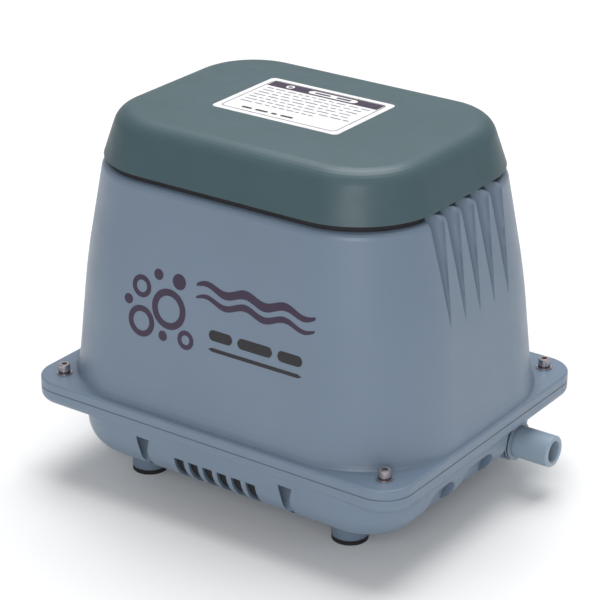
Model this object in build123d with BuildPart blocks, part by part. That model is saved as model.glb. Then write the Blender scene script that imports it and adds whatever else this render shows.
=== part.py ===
"""Free-standing linear diaphragm air pump.

Frame: +X to the outlet side, +Y to the back, +Z up. The origin is on the ground, under the
centre of the bounding box. All sizes are in millimetres.
"""
from build123d import *
from math import asin, cos, degrees, pi, radians, sin, tan
import os

os.makedirs("parts", exist_ok=True)

# ---------------------------------------------------------------- driving dimensions
FLANGE_X = -6.5            # centre of the bolt flange, which the outlet nozzle offsets
FLANGE_L = 256.0
FLANGE_W = 200.0
FLANGE_R = 19.0
EAR_BOTTOM = 47.0
TUB_TOP = 55.3
GASKET = 0.5
FLANGE_TOP = 61.3

BODY_X = -7.2              # centre of the upper housing, the cover and the drive
BASE = (124.9, 93.7, 59.5)     # half length, half width and corner radius on the flange
KINK = (118.9, 87.1, 56.0)     # the same where the wall starts to lean in more
SHOULDER = (108.0, 79.9, 51.0)  # the same at the top of the wall
KINK_Z = 131.0
KINK_BLEND = 16.0
HOUSING_TOP = 191.8
HOUSING_WALL = 4.0
SHOULDER_R = 4.0

COVER = (107.0, 79.6, 50.0)
COVER_BOTTOM = 195.1
COVER_TOP = 223.3
COVER_EDGE_R = 13.1
COVER_DRAFT = 19.7
COVER_WALL = 2.8
COVER_CROWN = 0.9
CORNER_TIGHTEN = 1.15      # corner radius lost for each millimetre of inset

TUB_LEFT = -108.0
TUB_RIGHT = 116.8
TUB_HALF_W = 99.5
TUB_R = 34.8
TUB_BOTTOM = 20.9
TUB_EDGE_R = 21.7
TUB_WALL = 3.5
TUB_RIGHT_WALL = 9.0       # thicker, to take the pockets
INSET_X = 100.0            # face of the right wall behind the outlet step
INSET_Y = (26.0, 34.0)     # where the step towards that face starts and ends

OUTLET_Y = 50.0
OUTLET_Z = 28.7
OUTLET_R = 9.5
OUTLET_BORE = 6.35
OUTLET_END = 134.5

BOSS_R = 12.3              # tub boss around the outlet
BOSS_END = 107.4

FOOT_X = 72.0
FOOT_Y = 57.4
FOOT_R = 10.5
FOOT_H = 2.8

SCREW_X = 112.5
SCREW_Y = 84.8
SCREW_R = 2.0

DRIVE_Z = 120.0            # height of the armature rod
CHAMBER = 88.0             # side of the square chamber blocks
ROD_R = 3.0

GROUND = Plane.XY


def save(piece, name):
    """Label a finished piece and write it as one STEP."""
    piece.part.label = name
    export_step(piece.part, f"parts/{name}.step")


def block(x, y, z, mode=Mode.ADD):
    """Add a box given by its (low, high) limits along each axis."""
    middle = [(low + high) / 2 for low, high in (x, y, z)]
    with Locations(tuple(middle)):
        Box(x[1] - x[0], y[1] - y[0], z[1] - z[0], mode=mode)


def rod(start, axis, radius, length, mode=Mode.ADD):
    """Add a cylinder that starts at a point and runs along an axis."""
    with Locations(Plane(origin=start, z_dir=axis)):
        Cylinder(radius, length, align=(Align.CENTER, Align.CENTER, Align.MIN), mode=mode)


# ---------------------------------------------------------------- shared outlines
def housing_outline(z, inset=0.0):
    """Half length, half width and corner radius of the upper housing at a height.

    Two drafts meet at KINK_Z, blended over KINK_BLEND to each side.
    """
    start = KINK_Z - KINK_BLEND
    bent = max(0.0, min(z, KINK_Z + KINK_BLEND) - start)
    past = max(0.0, z - KINK_Z - KINK_BLEND)
    turn = bent**2 / (4 * KINK_BLEND) + past
    sizes = []
    for low, mid, high in zip(BASE, KINK, SHOULDER):
        lower = (mid - low) / (KINK_Z - FLANGE_TOP)
        upper = (high - mid) / (HOUSING_TOP - KINK_Z)
        sizes.append(low + lower * (z - FLANGE_TOP) + (upper - lower) * turn - inset)
    return sizes


def bend_heights():
    """Heights of the sections through the blended bend of the housing wall."""
    return [KINK_Z + KINK_BLEND * step / 3 for step in range(-3, 4)]


def cover_sections(wall=0.0):
    """(z, inset) pairs up the cover: drafted side and rounded edge, outside with a slight crown."""
    radius = COVER_EDGE_R - wall
    top = COVER_TOP - COVER_CROWN - wall
    centre_z = top - radius
    lean = tan(radians(COVER_DRAFT))
    centre_in = (centre_z - COVER_BOTTOM) * lean + COVER_EDGE_R / cos(radians(COVER_DRAFT))
    pairs = [(COVER_BOTTOM, wall / cos(radians(COVER_DRAFT)))]
    steps = 4 if wall else 8
    for step in range(steps + 1):
        angle = radians(COVER_DRAFT + (90 - COVER_DRAFT) * step / steps)
        pairs.append((centre_z + radius * sin(angle), centre_in - radius * cos(angle)))
    if not wall:
        pairs.append((COVER_TOP, centre_in + 20))
    return pairs


def tub_sections(edge_r, floor, top):
    """(z, inset) pairs up the tub: rounded bottom edge, then a straight wall to the top."""
    pairs = []
    steps = 8
    for step in range(steps + 1):
        angle = pi / 2 * (1 - step / steps)
        pairs.append((floor + edge_r * (1 - sin(angle)), edge_r * (1 - cos(angle))))
    return pairs + [(top, 0)]


FLUTE_TIP_Z = 128.0
FLUTE_TOP_Z = 196.0
FLUTE_R = 7.3
FLUTE_PITCH = 15.0
FLUTE_ROWS = [FLUTE_PITCH * row for row in range(-2, 3)]


def flutes(side, extra=0.0, mode=Mode.SUBTRACT):
    """Cones that lie along the housing's end wall, points down."""
    low = housing_outline(FLUTE_TIP_Z)[0]
    high = housing_outline(FLUTE_TOP_Z)[0]
    rise = FLUTE_TOP_Z - FLUTE_TIP_Z
    run = high - low
    length = (rise**2 + run**2) ** 0.5
    for y in FLUTE_ROWS:
        tip = (BODY_X + side * (low + 0.3), y, FLUTE_TIP_Z)
        with Locations(Plane(origin=tip, x_dir=(0, 1, 0), z_dir=(side * run, 0, rise))):
            Cone(0.05 + extra, FLUTE_R + extra, length,
                 align=(Align.CENTER, Align.CENTER, Align.MIN), mode=mode)


# ---------------------------------------------------------------- upper housing
TRAY_L = 150.0
TRAY_W = 100.0
TRAY_R = 12.0
RIM_TOP = 203.0
RIM_FOOT = (101.6, 74.2, 44.6)
RIM_HEAD = (100.0, 72.6, 43.0)
RIM_INNER = (97.4, 70.0, 40.4)
INTAKE_HALF = 38.0         # half width of the rim notches over the flutes
FLANGE_EDGE_R = 1.3
SKIRT = ((-0.5, 2.0), (0.3, 1.6), (1.0, 1.25), (3.0, 0.8), (7.0, 0.35), (14.0, 0.0))

with BuildPart() as housing_cavity:
    for z in [FLANGE_TOP - 8] + bend_heights() + [HOUSING_TOP - HOUSING_WALL]:
        half_x, half_y, corner = housing_outline(z, HOUSING_WALL)
        with BuildSketch(Plane(origin=(BODY_X, 0, z))):
            RectangleRounded(2 * half_x, 2 * half_y, corner)
    loft(ruled=True)
    for side in (-1, 1):
        flutes(side, extra=3.0)

with BuildPart() as upper_housing:
    with BuildSketch(Plane(origin=(FLANGE_X, 0, TUB_TOP + GASKET))):
        RectangleRounded(FLANGE_L, FLANGE_W, FLANGE_R)
    extrude(amount=FLANGE_TOP - TUB_TOP - GASKET)
    fillet(upper_housing.faces().sort_by(Axis.Z)[-1].edges(), radius=FLANGE_EDGE_R)
    shoulder = []
    for step in range(1, 5):
        angle = pi / 2 * step / 4
        rise = HOUSING_TOP - SHOULDER_R * (1 - sin(angle))
        shoulder.append((rise, SHOULDER_R * (1 - cos(angle))))
    skirt = [(FLANGE_TOP + rise, -flare) for rise, flare in SKIRT]
    straight = [(z, 0.0) for z in bend_heights() + [HOUSING_TOP - SHOULDER_R]]
    for z, inset in skirt + straight + shoulder:
        half_x, half_y, corner = housing_outline(z, inset)
        with BuildSketch(Plane(origin=(BODY_X, 0, z))):
            RectangleRounded(2 * half_x, 2 * half_y, corner)
    loft(ruled=True)
    for z, (half_x, half_y, corner) in ((HOUSING_TOP - 1, RIM_FOOT), (RIM_TOP, RIM_HEAD)):
        with BuildSketch(Plane(origin=(BODY_X, 0, z))):
            RectangleRounded(2 * half_x, 2 * half_y, corner)
    loft(ruled=True)
    with BuildSketch(Plane(origin=(BODY_X, 0, HOUSING_TOP))):
        RectangleRounded(2 * RIM_INNER[0], 2 * RIM_INNER[1], RIM_INNER[2])
    extrude(amount=RIM_TOP, mode=Mode.SUBTRACT)
    add(housing_cavity.part, mode=Mode.SUBTRACT)
    for side in (-1, 1):
        flutes(side)
        ends = sorted((BODY_X + side * 90, BODY_X + side * 110))
        block(ends, (-INTAKE_HALF, INTAKE_HALF), (HOUSING_TOP, RIM_TOP + 1), Mode.SUBTRACT)
    with BuildSketch(Plane(origin=(BODY_X, 0, HOUSING_TOP - HOUSING_WALL - 1))):
        RectangleRounded(TRAY_L, TRAY_W, TRAY_R)
    extrude(amount=HOUSING_WALL + 2, mode=Mode.SUBTRACT)
    with Locations((FLANGE_X, 0, FLANGE_TOP - 3)):
        with GridLocations(2 * SCREW_X, 2 * SCREW_Y, 2, 2):
            Cylinder(SCREW_R + 0.3, 12, mode=Mode.SUBTRACT)
save(upper_housing, "upper_housing")

# ---------------------------------------------------------------- lower tub
EAR_EDGE_R = 4.5
EDGE_Y = TUB_EDGE_R - TUB_HALF_W   # axis of the rounded front edge
EDGE_Z = TUB_BOTTOM + TUB_EDGE_R
VENT_X = 1.8               # middle of the row of air slots round that edge
VENT_HALF = 32.0
VENT_WALL = 2.1
SLOT_PITCH = 10.0
SLOT_W = 6.6
SLOT_SPAN = (8.0, 60.0)    # degrees below level
SLOT_XS = [SLOT_PITCH * (index - 2.5) for index in range(6)]
LIP_R = 4.7                # rounded lip around each slot's lower end
LIP_SPAN = 65.0
LIP_RELIEF = 1.6
NOTCH_X = (-49.0, 50.5)
NOTCH_TOP = (-97.5, 45.8, 5.0)     # y, z and radius
NOTCH_TIP = (-93.5, 26.0, 2.6)
POCKETS = ((-55.5, -27.5), (-20.0, 13.0))
POCKET_TOP = 40.8
POCKET_R = 9.0
POCKET_FLOOR = ((111.8, POCKET_TOP), (104.2, 20.0))
GLAND = (-60.0, 85.5, 35.0)
GLAND_HALF = 15.0          # half width of the recess around the cord gland
REAR_CORNER_R = 28.0
SUMP_X = 60.0              # where the outlet boss starts, under the tank's outlet

tub_mid = (TUB_LEFT + TUB_RIGHT) / 2
tub_half = (TUB_RIGHT - TUB_LEFT) / 2


def edge_plane(degrees):
    """Plane that touches the rounded front edge at an angle below level."""
    out = (0, -cos(radians(degrees)), -sin(radians(degrees)))
    origin = (VENT_X, EDGE_Y + TUB_EDGE_R * out[1], EDGE_Z + TUB_EDGE_R * out[2])
    return Plane(origin=origin, x_dir=(1, 0, 0), z_dir=out)


slot_middle = sum(SLOT_SPAN) / 2
slot_half = TUB_EDGE_R * sin(radians(SLOT_SPAN[1] - slot_middle))
slot_end = slot_half - SLOT_W / 2
lip_turn = LIP_SPAN - slot_middle - degrees(asin(slot_end / TUB_EDGE_R))
lip_centre = TUB_EDGE_R * sin(radians(lip_turn))

with BuildPart() as tub_cavity:
    left = TUB_LEFT + TUB_WALL
    right = TUB_RIGHT - TUB_RIGHT_WALL
    for z, inset in tub_sections(TUB_EDGE_R - TUB_WALL, TUB_BOTTOM + TUB_WALL + 0.5, TUB_TOP + 1):
        with BuildSketch(Plane(origin=((left + right) / 2, 0, z))):
            RectangleRounded(right - left - 2 * inset, 2 * (TUB_HALF_W - TUB_WALL - inset),
                             TUB_R - TUB_WALL - inset)
    loft(ruled=True)
    inner_x = INSET_X - TUB_WALL
    with BuildSketch(GROUND):
        with BuildLine():
            Polyline((140, INSET_Y[0] - 4), (right, INSET_Y[0] - 4), (inner_x, INSET_Y[1] - 3),
                     (inner_x, 120), (140, 120), close=True)
        make_face()
    extrude(amount=EAR_BOTTOM + 1, mode=Mode.SUBTRACT)
    for x in NOTCH_X:
        rod((x, NOTCH_TOP[0], 0), (0, 0, 1), NOTCH_TOP[2] + 3.5, NOTCH_TOP[1] + 3, Mode.SUBTRACT)
    recess_x = (GLAND[0] - GLAND_HALF - TUB_WALL, GLAND[0] + GLAND_HALF + TUB_WALL)
    block(recess_x, (GLAND[1] - TUB_WALL, 110), (0, EAR_BOTTOM + 3), Mode.SUBTRACT)
    rod((VENT_X - VENT_HALF, EDGE_Y, EDGE_Z), (1, 0, 0), TUB_EDGE_R - VENT_WALL, 2 * VENT_HALF)
    rod((SUMP_X + 3, OUTLET_Y, OUTLET_Z), (1, 0, 0), BOSS_R - 1.3, inner_x - SUMP_X - 3)

with BuildPart() as lip_relief:
    with BuildSketch(edge_plane(LIP_SPAN)):
        with Locations((0, lip_centre + 0.5)):
            Rectangle(2 * (SLOT_XS[-1] + 5.2), 15, align=(Align.CENTER, Align.MAX))
        for x in SLOT_XS:
            with Locations((x, lip_centre)):
                Circle(LIP_R, mode=Mode.SUBTRACT)
    extrude(amount=10, both=True)
    rod((VENT_X - 40, EDGE_Y, EDGE_Z), (1, 0, 0), TUB_EDGE_R - LIP_RELIEF, 80, Mode.SUBTRACT)

with BuildPart() as pockets:
    with BuildSketch(Plane(origin=(TUB_RIGHT - 20, 0, 0), x_dir=(0, 1, 0), z_dir=(1, 0, 0))):
        for low, high in POCKETS:
            with Locations(((low + high) / 2, POCKET_TOP)):
                RectangleRounded(high - low, 2 * POCKET_TOP, POCKET_R,
                                 align=(Align.CENTER, Align.MAX))
    extrude(amount=30)
    with BuildSketch(Plane(origin=(0, 60, 0), x_dir=(1, 0, 0), z_dir=(0, -1, 0))):
        with BuildLine():
            Polyline(*POCKET_FLOOR, (POCKET_FLOOR[1][0], 0), (140, 0), (140, POCKET_TOP), close=True)
        make_face()
    extrude(amount=120, mode=Mode.INTERSECT)

with BuildPart() as lower_tub:
    with BuildSketch(Plane(origin=(FLANGE_X, 0, EAR_BOTTOM))):
        RectangleRounded(FLANGE_L, FLANGE_W, FLANGE_R)
    extrude(amount=TUB_TOP - EAR_BOTTOM)
    fillet(lower_tub.faces().sort_by(Axis.Z)[0].edges(), radius=EAR_EDGE_R)
    for z, inset in tub_sections(TUB_EDGE_R, TUB_BOTTOM, TUB_TOP - 2):
        with BuildSketch(Plane(origin=(tub_mid, 0, z))):
            RectangleRounded(2 * (tub_half - inset), 2 * (TUB_HALF_W - inset), TUB_R - inset)
    loft(ruled=True)
    # the right wall steps in towards the back, with a rounded rear corner
    with BuildSketch(GROUND):
        with BuildLine():
            Polyline((140, INSET_Y[0]), (TUB_RIGHT + 0.5, INSET_Y[0]), (INSET_X, INSET_Y[1]),
                     (INSET_X, 120), (140, 120), close=True)
        make_face()
    extrude(amount=EAR_BOTTOM, mode=Mode.SUBTRACT)
    with BuildSketch(GROUND):
        with Locations((INSET_X, TUB_HALF_W)):
            Rectangle(2 * REAR_CORNER_R, 2 * REAR_CORNER_R)
        with Locations((INSET_X - REAR_CORNER_R, TUB_HALF_W - REAR_CORNER_R)):
            Circle(REAR_CORNER_R, mode=Mode.SUBTRACT)
            Rectangle(1, 1, mode=Mode.SUBTRACT)
    extrude(amount=EAR_BOTTOM, mode=Mode.SUBTRACT)
    rod((SUMP_X, OUTLET_Y, OUTLET_Z), (1, 0, 0), BOSS_R, BOSS_END - SUMP_X)
    with Locations((FLANGE_X, 0, FOOT_H)):
        with GridLocations(2 * FOOT_X, 2 * FOOT_Y, 2, 2):
            Cylinder(FOOT_R, 20, align=(Align.CENTER, Align.CENTER, Align.MIN))
    add(tub_cavity.part, mode=Mode.SUBTRACT)
    # foot sockets and their screw pilots
    with Locations((FLANGE_X, 0, FOOT_H)):
        with GridLocations(2 * FOOT_X, 2 * FOOT_Y, 2, 2):
            Cylinder(5, 5, align=(Align.CENTER, Align.CENTER, Align.MIN), mode=Mode.SUBTRACT)
            Cylinder(2, 15, align=(Align.CENTER, Align.CENTER, Align.MIN), mode=Mode.SUBTRACT)
    with BuildSketch(edge_plane(slot_middle)):
        for x in SLOT_XS:
            with Locations((x, (slot_half - slot_end) / 2)):
                Rectangle(SLOT_W, slot_half + slot_end)
            with Locations((x, -slot_end)):
                Circle(SLOT_W / 2)
    extrude(amount=8, both=True, mode=Mode.SUBTRACT)
    add(lip_relief.part, mode=Mode.SUBTRACT)
    notch_rise = (0, NOTCH_TOP[0] - NOTCH_TIP[0], NOTCH_TOP[1] - NOTCH_TIP[1])
    for x in NOTCH_X:
        with Locations(Plane(origin=(x, *NOTCH_TIP[:2]), x_dir=(1, 0, 0), z_dir=notch_rise)):
            Cone(NOTCH_TIP[2], NOTCH_TOP[2], Vector(*notch_rise).length,
                 align=(Align.CENTER, Align.CENTER, Align.MIN), mode=Mode.SUBTRACT)
    add(pockets.part, mode=Mode.SUBTRACT)
    gland_span = (GLAND[0] - GLAND_HALF, GLAND[0] + GLAND_HALF)
    block(gland_span, (GLAND[1], 110), (0, EAR_BOTTOM), Mode.SUBTRACT)
    rod((GLAND[0], GLAND[1] - 10, GLAND[2]), (0, 1, 0), 6, 12, Mode.SUBTRACT)
    rod((INSET_X - 10, OUTLET_Y, OUTLET_Z), (1, 0, 0), OUTLET_R + 0.1, 20, Mode.SUBTRACT)
    with Locations((FLANGE_X, 0, TUB_TOP)):
        with GridLocations(2 * SCREW_X, 2 * SCREW_Y, 2, 2):
            Cylinder(SCREW_R, 2 * 6.6, mode=Mode.SUBTRACT)
save(lower_tub, "lower_tub")

# screen behind the air slots, bent to the edge's curve
SCREEN_R = (17.8, 19.5)
SCREEN_HALF = 30.5
with BuildPart() as vent_screen:
    with BuildSketch(Plane(origin=(VENT_X, EDGE_Y, EDGE_Z), x_dir=(0, 1, 0), z_dir=(1, 0, 0))):
        Circle(SCREEN_R[1])
        Circle(SCREEN_R[0], mode=Mode.SUBTRACT)
        with BuildLine():
            Polyline((0, 0), (-30, 0), (-30, -30), (-5, -30), close=True)
        make_face(mode=Mode.INTERSECT)
    extrude(amount=SCREEN_HALF, both=True)
save(vent_screen, "vent_screen")

with BuildPart() as flange_gasket:
    with BuildSketch(Plane(origin=(FLANGE_X, 0, TUB_TOP))):
        RectangleRounded(FLANGE_L - 0.4, FLANGE_W - 0.4, FLANGE_R - 0.2)
        with GridLocations(2 * SCREW_X, 2 * SCREW_Y, 2, 2):
            Circle(SCREW_R + 0.3, mode=Mode.SUBTRACT)
        with Locations((BODY_X - FLANGE_X, 0)):
            RectangleRounded(2 * (BASE[0] - 8), 2 * (BASE[1] - 8), BASE[2] - 8, mode=Mode.SUBTRACT)
    extrude(amount=GASKET)
save(flange_gasket, "flange_gasket")

# ---------------------------------------------------------------- housing screws
FLAT_WASHER_H = 0.8
FLAT_WASHER_R = 4.6
SPRING_WASHER_H = 1.1
SPRING_WASHER_R = 3.7
HEAD_H = 4.2
HEAD_R = 3.5
HEX_R = 1.8
washer_z = FLANGE_TOP + FLAT_WASHER_H
head_z = washer_z + SPRING_WASHER_H

with BuildPart() as flat_washers:
    with BuildSketch(Plane(origin=(FLANGE_X, 0, FLANGE_TOP))):
        with GridLocations(2 * SCREW_X, 2 * SCREW_Y, 2, 2):
            Circle(FLAT_WASHER_R)
            Circle(SCREW_R + 0.2, mode=Mode.SUBTRACT)
    extrude(amount=FLAT_WASHER_H)
save(flat_washers, "flat_washers")

with BuildPart() as spring_washers:
    with BuildSketch(Plane(origin=(FLANGE_X, 0, washer_z))):
        with GridLocations(2 * SCREW_X, 2 * SCREW_Y, 2, 2):
            Circle(SPRING_WASHER_R)
            Circle(SCREW_R + 0.2, mode=Mode.SUBTRACT)
            with Locations((0, SPRING_WASHER_R)):
                Rectangle(0.7, 4, mode=Mode.SUBTRACT)
    extrude(amount=SPRING_WASHER_H)
save(spring_washers, "spring_washers")

with BuildPart() as housing_screws:
    with Locations((FLANGE_X, 0, head_z)):
        with GridLocations(2 * SCREW_X, 2 * SCREW_Y, 2, 2):
            Cylinder(HEAD_R, HEAD_H, align=(Align.CENTER, Align.CENTER, Align.MIN))
            Cylinder(SCREW_R - 0.02, 14, align=(Align.CENTER, Align.CENTER, Align.MAX))
    chamfer(housing_screws.faces().group_by(Axis.Z)[-1].edges(), length=0.5)
    with BuildSketch(Plane(origin=(FLANGE_X, 0, head_z + HEAD_H))):
        with GridLocations(2 * SCREW_X, 2 * SCREW_Y, 2, 2):
            RegularPolygon(HEX_R, 6)
    extrude(amount=-2.4, mode=Mode.SUBTRACT)
save(housing_screws, "housing_screws")

# ---------------------------------------------------------------- filter cover
with BuildPart() as filter_cover:
    for offset in (0.0, COVER_WALL):
        for z, inset in cover_sections(offset):
            with BuildSketch(Plane(origin=(BODY_X, 0, z))):
                RectangleRounded(2 * (COVER[0] - inset), 2 * (COVER[1] - inset),
                                 COVER[2] - CORNER_TIGHTEN * inset)
        loft(ruled=True, mode=Mode.SUBTRACT if offset else Mode.ADD)
save(filter_cover, "filter_cover")

LABEL = (-10.3, 3.9)
LABEL_L = 85.5
LABEL_W = 60.0
with BuildPart() as top_label:
    with BuildSketch(Plane(origin=(LABEL[0], LABEL[1], COVER_TOP))):
        RectangleRounded(LABEL_L, LABEL_W, 3)
    extrude(amount=0.2)
save(top_label, "top_label")

with BuildPart() as cover_seal:
    with BuildSketch(Plane(origin=(BODY_X, 0, HOUSING_TOP))):
        RectangleRounded(209, 154.2, 47.5)
        RectangleRounded(204, 149.2, 45, mode=Mode.SUBTRACT)
        Rectangle(240, 2 * INTAKE_HALF, mode=Mode.SUBTRACT)
    extrude(amount=COVER_BOTTOM - HOUSING_TOP - 0.1)
save(cover_seal, "cover_seal")

# ---------------------------------------------------------------- air filter and its grille
TRAY_FLOOR = 185.5
FILTER_TOP = 207.0
with BuildPart() as intake_grille:
    with BuildSketch(Plane(origin=(BODY_X, 0, HOUSING_TOP))):
        RectangleRounded(TRAY_L + 12, TRAY_W + 12, TRAY_R + 4)
    extrude(amount=2)
    with BuildSketch(Plane(origin=(BODY_X, 0, TRAY_FLOOR))):
        RectangleRounded(TRAY_L - 0.4, TRAY_W - 0.4, TRAY_R)
    extrude(amount=HOUSING_TOP - TRAY_FLOOR)
    with BuildSketch(Plane(origin=(BODY_X, 0, TRAY_FLOOR + 2))):
        RectangleRounded(TRAY_L - 4.4, TRAY_W - 4.4, TRAY_R - 2)
    extrude(amount=20, mode=Mode.SUBTRACT)
    with BuildSketch(Plane(origin=(BODY_X, 0, TRAY_FLOOR))):
        with GridLocations(10, 28, 13, 3):
            SlotOverall(24, 6, rotation=90)
    extrude(amount=3, mode=Mode.SUBTRACT)
save(intake_grille, "intake_grille")

with BuildPart() as air_filter:
    with BuildSketch(Plane(origin=(BODY_X, 0, TRAY_FLOOR + 2.3))):
        RectangleRounded(TRAY_L - 6, TRAY_W - 6, TRAY_R - 3)
    extrude(amount=FILTER_TOP - TRAY_FLOOR - 2.3)
save(air_filter, "air_filter")

# ---------------------------------------------------------------- feet
with BuildPart() as rubber_feet:
    with Locations((FLANGE_X, 0, 0)):
        with GridLocations(2 * FOOT_X, 2 * FOOT_Y, 2, 2):
            Cylinder(FOOT_R, FOOT_H, align=(Align.CENTER, Align.CENTER, Align.MIN))
            Cylinder(4.95, FOOT_H + 4.9, align=(Align.CENTER, Align.CENTER, Align.MIN))
            Cylinder(4.2, 3.4, align=(Align.CENTER, Align.CENTER, Align.MIN), mode=Mode.SUBTRACT)
            Cylinder(2.1, 20, align=(Align.CENTER, Align.CENTER, Align.MIN), mode=Mode.SUBTRACT)
save(rubber_feet, "rubber_feet")

with BuildPart() as foot_screws:
    with Locations((FLANGE_X, 0, 1.0)):
        with GridLocations(2 * FOOT_X, 2 * FOOT_Y, 2, 2):
            Cylinder(3.8, 2.4, align=(Align.CENTER, Align.CENTER, Align.MIN))
            Cylinder(1.95, 15.5, align=(Align.CENTER, Align.CENTER, Align.MIN))
            Box(5, 1, 2, align=(Align.CENTER, Align.CENTER, Align.CENTER), mode=Mode.SUBTRACT)
save(foot_screws, "foot_screws")

# ---------------------------------------------------------------- outlet nozzle
NOZZLE_IN = 80.5
COLLAR_X = 108.0
COLLAR_R = 11.6
RING_W = 1.2
with BuildPart() as outlet_nozzle:
    rod((NOZZLE_IN, OUTLET_Y, OUTLET_Z), (1, 0, 0), OUTLET_R, OUTLET_END - NOZZLE_IN)
    fillet(outlet_nozzle.faces().sort_by(Axis.X)[-1].edges(), radius=1.2)
    for step in range(2):
        start = (COLLAR_X + 1.8 * step, OUTLET_Y, OUTLET_Z)
        rod(start, (1, 0, 0), COLLAR_R, RING_W)
    rod((COLLAR_X, OUTLET_Y, OUTLET_Z), (1, 0, 0), COLLAR_R - 0.8, 1.8 + RING_W)
    rod((NOZZLE_IN, OUTLET_Y, OUTLET_Z), (1, 0, 0), OUTLET_BORE, 60, Mode.SUBTRACT)
    chamfer(outlet_nozzle.edges().filter_by(GeomType.CIRCLE).sort_by(Axis.X)[-2:].sort_by(
        SortBy.RADIUS)[0], length=0.6)
save(outlet_nozzle, "outlet_nozzle")

with BuildPart() as outlet_seal:
    rod((BOSS_END, OUTLET_Y, OUTLET_Z), (1, 0, 0), COLLAR_R - 0.8, COLLAR_X - BOSS_END)
    rod((BOSS_END, OUTLET_Y, OUTLET_Z), (1, 0, 0), OUTLET_R, 10, Mode.SUBTRACT)
save(outlet_seal, "outlet_seal")

# ---------------------------------------------------------------- cord gland
CORD_R = 3.6
with BuildPart() as cord_gland:
    gland_plane = Plane(origin=GLAND, x_dir=(1, 0, 0), z_dir=(0, 1, 0))
    with BuildSketch(gland_plane):
        RegularPolygon(8, 6)
    extrude(amount=5)
    rod(GLAND, (0, 1, 0), 6, 8)
    rod((GLAND[0], 79, GLAND[2]), (0, 1, 0), 5.9, GLAND[1] - 79)
    rod((GLAND[0], 70, GLAND[2]), (0, 1, 0), CORD_R, 40, Mode.SUBTRACT)
save(cord_gland, "cord_gland")

with BuildPart() as gland_cap:
    cap_start = (GLAND[0], GLAND[1] + 5.2, GLAND[2])
    rod(cap_start, (0, 1, 0), 7.6, 7)
    fillet(gland_cap.faces().sort_by(Axis.Y)[-1].edges(), radius=1.8)
    rod(cap_start, (0, 1, 0), 6.02, 3, Mode.SUBTRACT)
    rod(cap_start, (0, 1, 0), CORD_R, 20, Mode.SUBTRACT)
save(gland_cap, "gland_cap")

with BuildPart() as gland_nut:
    with BuildSketch(Plane(origin=(GLAND[0], 79.3, GLAND[2]), x_dir=(1, 0, 0), z_dir=(0, 1, 0))):
        RegularPolygon(8.5, 6)
        Circle(5.95, mode=Mode.SUBTRACT)
    extrude(amount=2.6)
save(gland_nut, "gland_nut")

# ---------------------------------------------------------------- air tank
TANK_X = (-101.5, 90.0)
TANK_Y = (-60.0, 78.0)
TANK_R = 25.0
TANK_FLOOR = 25.8
TANK_TOP = 52.0
TANK_WALL = 3.0
TANK_GASKET = 0.8
LID_T = 4.0
STUB_X = 85.0              # elbows, left and right of the body's centre
STUB_Y = 68.0
STUB_R = 6.5
STUB_BORE = 4.5
tank_mid = ((TANK_X[0] + TANK_X[1]) / 2, (TANK_Y[0] + TANK_Y[1]) / 2)
tank_l = TANK_X[1] - TANK_X[0]
tank_w = TANK_Y[1] - TANK_Y[0]

with BuildPart() as air_tank:
    with BuildSketch(Plane(origin=(*tank_mid, TANK_FLOOR))):
        RectangleRounded(tank_l, tank_w, TANK_R)
    extrude(amount=TANK_TOP - TANK_FLOOR)
    fillet(air_tank.faces().sort_by(Axis.Z)[0].edges(), radius=15)
    with BuildSketch(Plane(origin=(*tank_mid, TANK_FLOOR + TANK_WALL))):
        RectangleRounded(tank_l - 2 * TANK_WALL - 16, tank_w - 2 * TANK_WALL - 16, TANK_R - 9)
    extrude(amount=8, mode=Mode.SUBTRACT)
    with BuildSketch(Plane(origin=(*tank_mid, TANK_FLOOR + TANK_WALL + 8))):
        RectangleRounded(tank_l - 2 * TANK_WALL, tank_w - 2 * TANK_WALL, TANK_R - TANK_WALL)
    extrude(amount=30, mode=Mode.SUBTRACT)
    with BuildSketch(Plane(origin=(*tank_mid, TANK_FLOOR + TANK_WALL - 1))):
        with GridLocations((tank_l - 60) / 2, tank_w - 30, 3, 2):
            Circle(5.5)
    extrude(amount=TANK_TOP - TANK_FLOOR - TANK_WALL + 1)
    rod((70, OUTLET_Y, OUTLET_Z), (1, 0, 0), OUTLET_R + 1.4, 21)
    rod((NOZZLE_IN - 0.5, OUTLET_Y, OUTLET_Z), (1, 0, 0), OUTLET_R + 0.02, 20, Mode.SUBTRACT)
    rod((74, OUTLET_Y, OUTLET_Z), (1, 0, 0), OUTLET_BORE, 8, Mode.SUBTRACT)
    block((74, 79), (OUTLET_Y - 5, OUTLET_Y + 5), (OUTLET_Z, OUTLET_Z + 13), Mode.SUBTRACT)
    with BuildSketch(Plane(origin=(*tank_mid, TANK_TOP))):
        with GridLocations((tank_l - 60) / 2, tank_w - 30, 3, 2):
            Circle(1.95)
    extrude(amount=-14, mode=Mode.SUBTRACT)
save(air_tank, "air_tank")

with BuildPart() as tank_gasket:
    with BuildSketch(Plane(origin=(*tank_mid, TANK_TOP))):
        RectangleRounded(tank_l, tank_w, TANK_R)
        RectangleRounded(tank_l - 2 * TANK_WALL, tank_w - 2 * TANK_WALL, TANK_R - TANK_WALL,
                         mode=Mode.SUBTRACT)
    extrude(amount=TANK_GASKET)
save(tank_gasket, "tank_gasket")

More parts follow.
